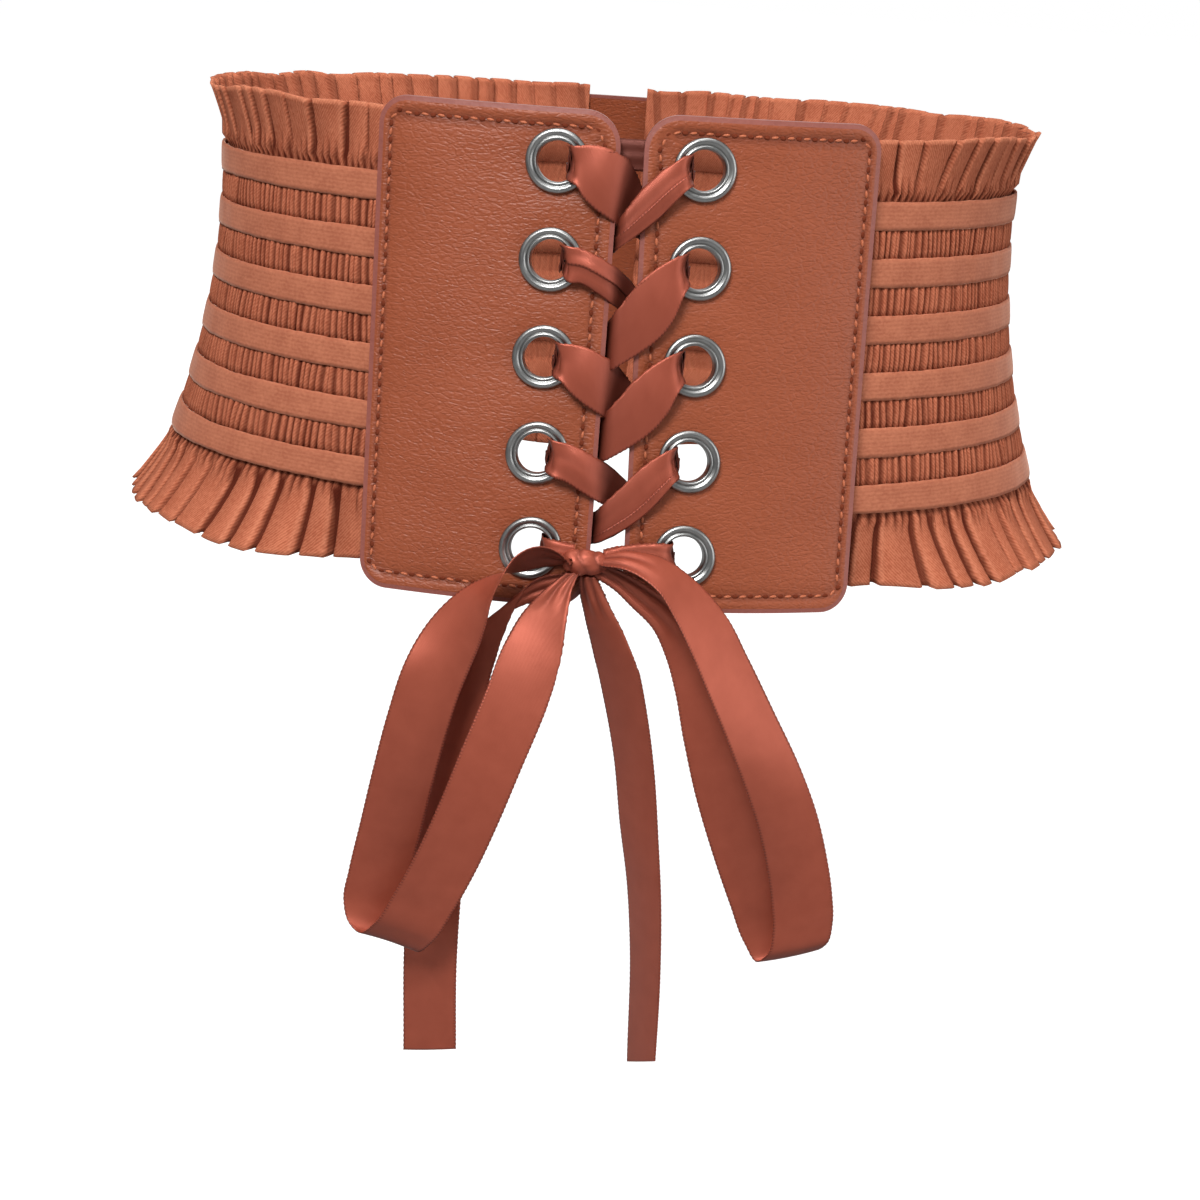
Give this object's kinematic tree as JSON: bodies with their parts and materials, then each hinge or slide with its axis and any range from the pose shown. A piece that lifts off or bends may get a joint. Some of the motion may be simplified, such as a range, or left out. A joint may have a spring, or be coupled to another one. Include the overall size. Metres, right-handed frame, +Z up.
{
  "type": "wide waist belt",
  "caption": "Wide lace-up waist belt: two leather front panels laced with satin ribbon tied in a bow, gathered elastic cloth sides with ruffled top and bottom edges.",
  "frame": {"origin": "on the axis of the waist that the belt is worn on, at mid height of the front panels", "axes": "+Z up along the wearer's waist, -Y the laced front, +X the viewer's right in the picture"},
  "size_m": [0.3104, 0.2183, 0.2863],
  "materials": {
    "leather": "soft pebbled brown leatherette with a rolled edge and matching saddle stitch",
    "cloth": "matt brown twill, gathered",
    "elastic": "matt brown woven elastic with fine level lines",
    "ribbon": "glossy brown satin ribbon with serrated edges",
    "metal": "dark nickel plate, smooth"
  },
  "bodies": {
    "root": {"left_panel": "leather", "eyelet_left_1": "metal", "eyelet_left_2": "metal", "eyelet_left_3": "metal", "eyelet_left_4": "metal", "eyelet_left_5": "metal", "gathered_cloth_left": "cloth", "top_ruffle_left": "cloth", "bottom_ruffle_left": "cloth", "elastic_strip_left_1": "elastic", "elastic_strip_left_2": "elastic", "elastic_strip_left_3": "elastic", "elastic_strip_left_4": "elastic", "elastic_strip_left_5": "elastic", "elastic_strip_left_6": "elastic", "right_panel": "leather", "eyelet_right_1": "metal", "eyelet_right_2": "metal", "eyelet_right_3": "metal", "eyelet_right_4": "metal", "eyelet_right_5": "metal", "gathered_cloth_right": "cloth", "top_ruffle_right": "cloth", "bottom_ruffle_right": "cloth", "elastic_strip_right_1": "elastic", "elastic_strip_right_2": "elastic", "elastic_strip_right_3": "elastic", "elastic_strip_right_4": "elastic", "elastic_strip_right_5": "elastic", "elastic_strip_right_6": "elastic", "back_tab": "leather", "lace_top_bar": "ribbon", "lace_under_1": "ribbon", "lace_over_1": "ribbon", "lace_under_2": "ribbon", "lace_over_2": "ribbon", "lace_under_3": "ribbon", "lace_over_3": "ribbon", "lace_under_4": "ribbon", "lace_over_4": "ribbon", "lace_end_left": "ribbon", "lace_end_right": "ribbon", "bow_knot": "ribbon", "bow_loop_left": "ribbon", "bow_loop_right": "ribbon", "bow_tail_left": "ribbon", "bow_tail_right": "ribbon"}
  },
  "joints": []
}
